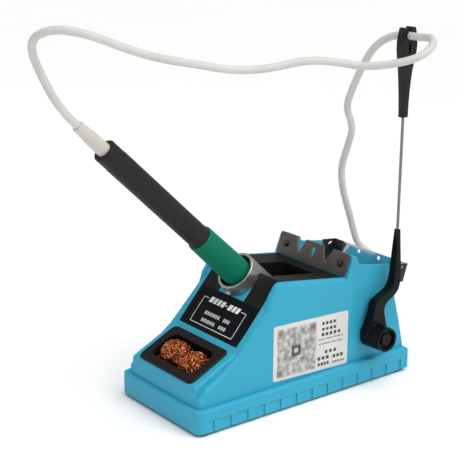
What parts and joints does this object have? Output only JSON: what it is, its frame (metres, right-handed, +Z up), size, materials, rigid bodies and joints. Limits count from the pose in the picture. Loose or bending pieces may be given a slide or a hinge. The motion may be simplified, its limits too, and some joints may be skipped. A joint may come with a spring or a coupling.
{
  "type": "soldering iron stand",
  "caption": "Bench soldering station: sloped case with tilted tube holder and iron, wool cup, tub, tip rack, rear tray and a swinging arm that carries the lead.",
  "frame": {"origin": "centre of the case's footprint, on the surface the rubber feet stand on", "axes": "+Z up; -Y towards the wool cup end, the front; +Y towards the power inlet; +X the side with the swinging lead arm"},
  "size_m": [0.1398, 0.3195, 0.2883],
  "materials": {
    "case_blue": "fine satin moulded plastic",
    "foot_rubber": "matt",
    "panel_black": "semi-gloss printed panel",
    "label_white": "satin printed film",
    "cup_dark": "satin stove paint",
    "copper_wool": "bright crinkled strands",
    "tub_black": "fine matt moulded plastic",
    "tube_steel": "bead-blasted, polished rim",
    "screw_steel": "plated",
    "rack_steel": "satin dark sheet",
    "tray_steel": "polished sheet",
    "arm_black": "satin nylon",
    "rod_steel": "drawn wire",
    "handle_black": "soft-touch",
    "grip_green": "satin silicone",
    "nose_metal": "turned",
    "tip_metal": "plated, heat-tinted",
    "boot_white": "matt silicone",
    "cord_white": "satin silicone",
    "board_green": "lacquered",
    "transformer_core": "varnished",
    "can_metal": "sleeved",
    "switch_black": "gloss",
    "inlet_black": "matt"
  },
  "bodies": {
    "base": {"lower_case": "case_blue", "upper_case": "case_blue", "rubber_feet": "foot_rubber", "case_screws": "screw_steel", "nameplate": "panel_black", "side_label": "label_white", "wool_cup": "cup_dark", "copper_wool": "copper_wool", "tub_liner": "tub_black", "holder_tube": "tube_steel", "holder_screw": "screw_steel", "tip_plate": "rack_steel", "tip_plate_screws": "screw_steel", "rear_tray": "tray_steel", "rear_tray_screws": "screw_steel", "cord_gland": "foot_rubber", "power_inlet": "inlet_black", "switch_housing": "switch_black", "circuit_board": "board_green", "board_screws": "screw_steel", "transformer": "transformer_core", "capacitors": "can_metal", "pivot_screw": "screw_steel", "pivot_nut": "screw_steel", "pivot_washer": "screw_steel", "cord_front": "cord_white", "cord_middle": "cord_white", "cord_rear": "cord_white"},
    "arm": {"swing_arm": "arm_black", "arm_rod": "rod_steel", "cord_clip": "arm_black"},
    "iron": {"handle_tube": "handle_black", "iron_grip": "grip_green", "iron_nose": "nose_metal", "heater_cartridge": "tip_metal", "cord_boot": "boot_white"},
    "rocker": {"switch_rocker": "switch_black"}
  },
  "joints": [
    {"name": "arm_tilt", "type": "hinge", "parent": "base", "child": "arm", "pos_m": [0.0492, 0.0634, 0.0385], "axis": [1, 0, 0], "range_deg": [-20, 30], "deforming": ["cord_middle", "cord_rear"]},
    {"name": "iron_lift", "type": "slide", "parent": "base", "child": "iron", "axis": [0, -0.7133, 0.7009], "range_m": [0, 0.12], "deforming": ["cord_front"]},
    {"name": "switch_rock", "type": "hinge", "parent": "base", "child": "rocker", "pos_m": [-0.0046, 0.09424, 0.03871], "axis": [1, 0, 0], "range_deg": [-18, 0]}
  ]
}
